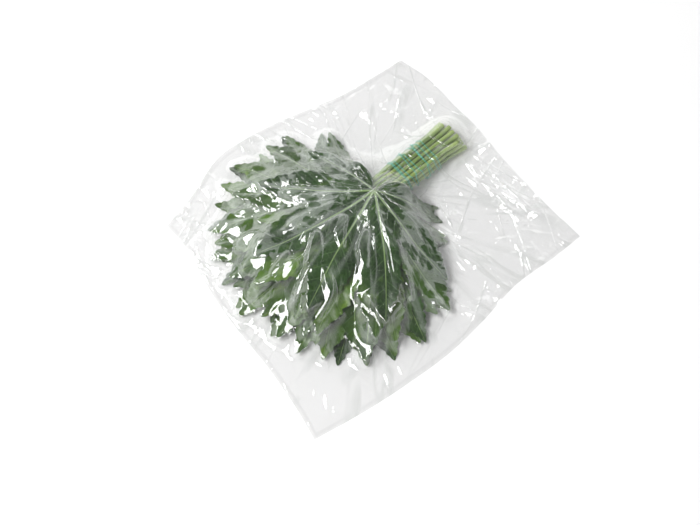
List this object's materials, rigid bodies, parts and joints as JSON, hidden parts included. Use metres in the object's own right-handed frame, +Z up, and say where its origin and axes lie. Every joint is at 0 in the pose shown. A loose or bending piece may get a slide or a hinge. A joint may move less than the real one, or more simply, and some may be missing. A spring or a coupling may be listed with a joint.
{
  "type": "bagged bunch of cut aralia leaves",
  "caption": "Bunch of lobed evergreen leaves on bound stalks, lying flat in a clear plastic bag with its mouth at the cut ends.",
  "frame": {"origin": "centre of the bounding box in plan, on the surface that the bag lies on", "axes": "+Z up, +X towards the cut stalk ends and the bag's mouth, +Y across the bag"},
  "size_m": [0.4772, 0.4336, 0.05],
  "materials": {
    "leaf_blade": "satin, glossy deep green leaf with paler veins",
    "stalk": "smooth pale yellow-green stalk",
    "thread": "thin teal-green binding thread",
    "film": "clear glossy film with fine creases"
  },
  "bodies": {
    "root": {"leaf_01_blade": "leaf_blade", "leaf_01_stalk": "stalk", "leaf_02_blade": "leaf_blade", "leaf_02_stalk": "stalk", "leaf_03_blade": "leaf_blade", "leaf_03_stalk": "stalk", "leaf_04_blade": "leaf_blade", "leaf_04_stalk": "stalk", "leaf_05_blade": "leaf_blade", "leaf_05_stalk": "stalk", "leaf_06_blade": "leaf_blade", "leaf_06_stalk": "stalk", "leaf_07_blade": "leaf_blade", "leaf_07_stalk": "stalk", "leaf_08_blade": "leaf_blade", "leaf_08_stalk": "stalk", "leaf_09_blade": "leaf_blade", "leaf_09_stalk": "stalk", "leaf_10_blade": "leaf_blade", "leaf_10_stalk": "stalk", "leaf_11_blade": "leaf_blade", "leaf_11_stalk": "stalk", "leaf_12_blade": "leaf_blade", "leaf_12_stalk": "stalk", "leaf_13_blade": "leaf_blade", "leaf_13_stalk": "stalk", "leaf_14_blade": "leaf_blade", "leaf_14_stalk": "stalk", "leaf_15_blade": "leaf_blade", "leaf_15_stalk": "stalk", "leaf_16_blade": "leaf_blade", "leaf_16_stalk": "stalk", "leaf_17_blade": "leaf_blade", "leaf_17_stalk": "stalk", "leaf_18_blade": "leaf_blade", "leaf_18_stalk": "stalk", "binding_thread": "thread", "bag": "film"}
  },
  "joints": []
}
